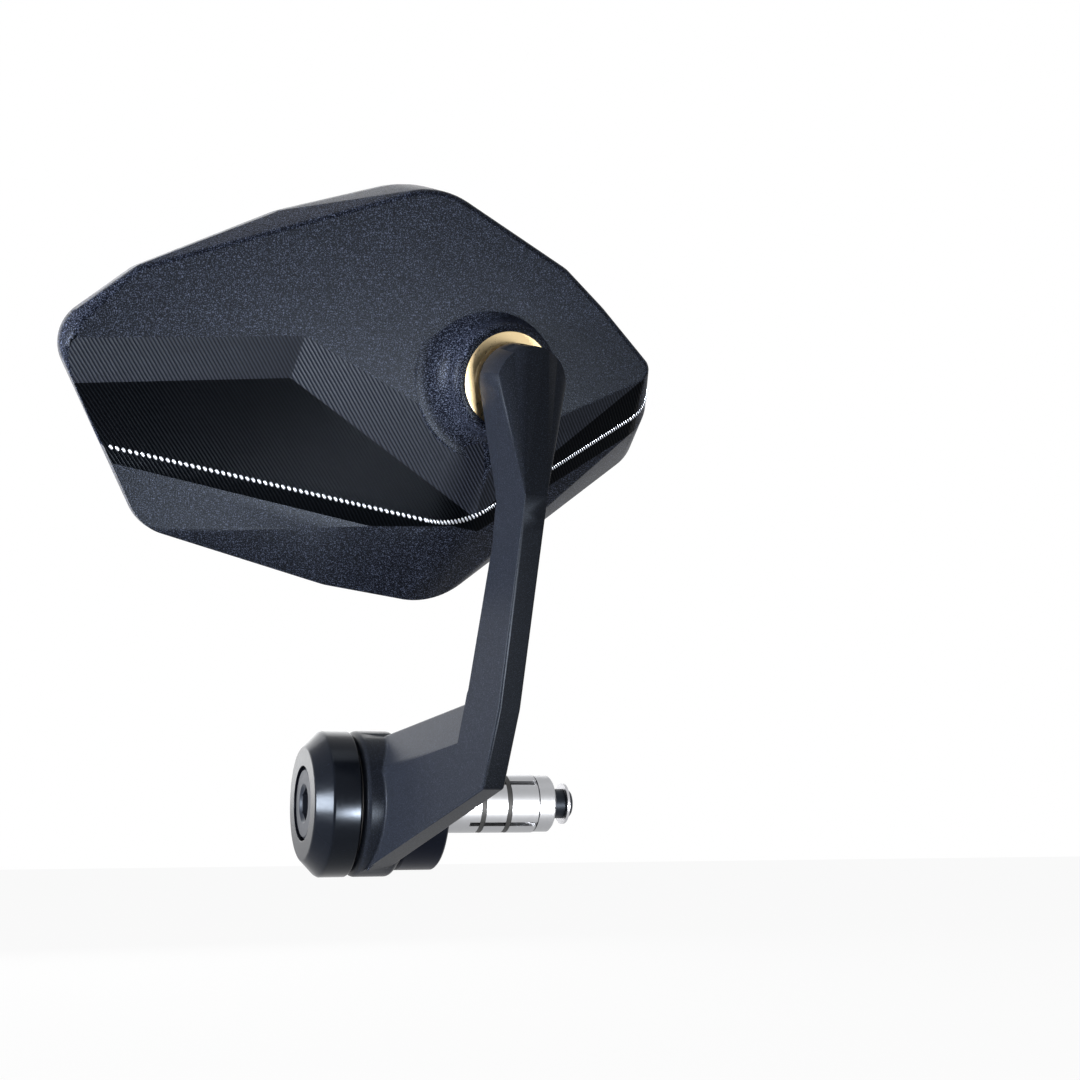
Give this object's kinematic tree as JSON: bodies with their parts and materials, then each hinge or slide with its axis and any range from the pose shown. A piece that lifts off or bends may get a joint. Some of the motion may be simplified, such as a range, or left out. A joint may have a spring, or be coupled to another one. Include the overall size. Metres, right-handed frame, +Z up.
{
  "type": "motorcycle bar end mirror",
  "caption": "Bar end mirror with a faceted machined housing, convex glass, ball joint, swinging arm and expander plug for the handlebar's end.",
  "frame": {"origin": "on the handlebar's axis, at the spacer's face that seats on the end of the bar", "axes": "+X along the bar towards its middle, +Z up, +Y to the rear, where the glass faces"},
  "size_m": [0.1484, 0.1054, 0.1657],
  "materials": {
    "housing": "black anodised, bead blasted, with bright-milled facets",
    "glass": "silvered convex glass",
    "pad": "adhesive foam",
    "plastic": "moulded",
    "steel": "turned",
    "black_steel": "black oxide",
    "brass": "gold anodised, turned",
    "arm": "satin black anodised",
    "cap": "gloss black anodised",
    "spacer": "black anodised",
    "rubber": "moulded rubber",
    "plain_aluminium": "turned"
  },
  "bodies": {
    "bar_mount": {"end_cap": "cap", "outer_friction_washer": "plastic", "inner_friction_washer": "plastic", "bar_spacer": "spacer", "spacer_seal": "rubber", "expander_sleeve": "plain_aluminium", "sleeve_bands": "rubber", "bolt_washer": "black_steel"},
    "bolt": {"clamp_bolt": "black_steel", "bolt_clip": "steel"},
    "cone": {"cone_nut": "plain_aluminium"},
    "arm": {"mirror_arm": "arm", "arm_bush": "plastic", "arm_set_screw": "black_steel"},
    "stud": {"ball_stud": "steel"},
    "socket": {"ball_seat": "plastic", "seat_spring": "steel", "clamp_ring": "brass"},
    "head": {"mirror_housing": "housing", "mirror_glass": "glass", "glass_pad": "pad"}
  },
  "joints": [
    {"name": "arm_swing", "type": "hinge", "parent": "bar_mount", "child": "arm", "pos_m": [0, 0, 0], "axis": [1, 0, 0], "continuous": true},
    {"name": "stud_turn", "type": "hinge", "parent": "arm", "child": "stud", "pos_m": [-0.0052, -0.0644, 0.1018], "axis": [0.1488, -0.9393, -0.309], "range_deg": [-235, 35]},
    {"name": "ball_tilt", "type": "hinge", "parent": "stud", "child": "socket", "pos_m": [-0.0052, -0.0644, 0.1018], "axis": [0.9877, 0.1564, 0], "range_deg": [-10, 10]},
    {"name": "head_turn", "type": "hinge", "parent": "socket", "child": "head", "pos_m": [-0.0052, -0.0644, 0.1018], "axis": [0.1488, -0.9393, -0.309], "range_deg": [-235, 35]},
    {"name": "bolt_turn", "type": "hinge", "parent": "bar_mount", "child": "bolt", "pos_m": [0, 0, 0], "axis": [-1, 0, 0], "range_deg": [0, 864]},
    {"name": "cone_draw", "type": "slide", "parent": "bar_mount", "child": "cone", "axis": [1, 0, 0], "range_m": [0, 0.003]}
  ],
  "couplings": [
    {"joint": "cone_draw", "follows": "bolt_turn", "m_per_rad": 0.00019894}
  ]
}
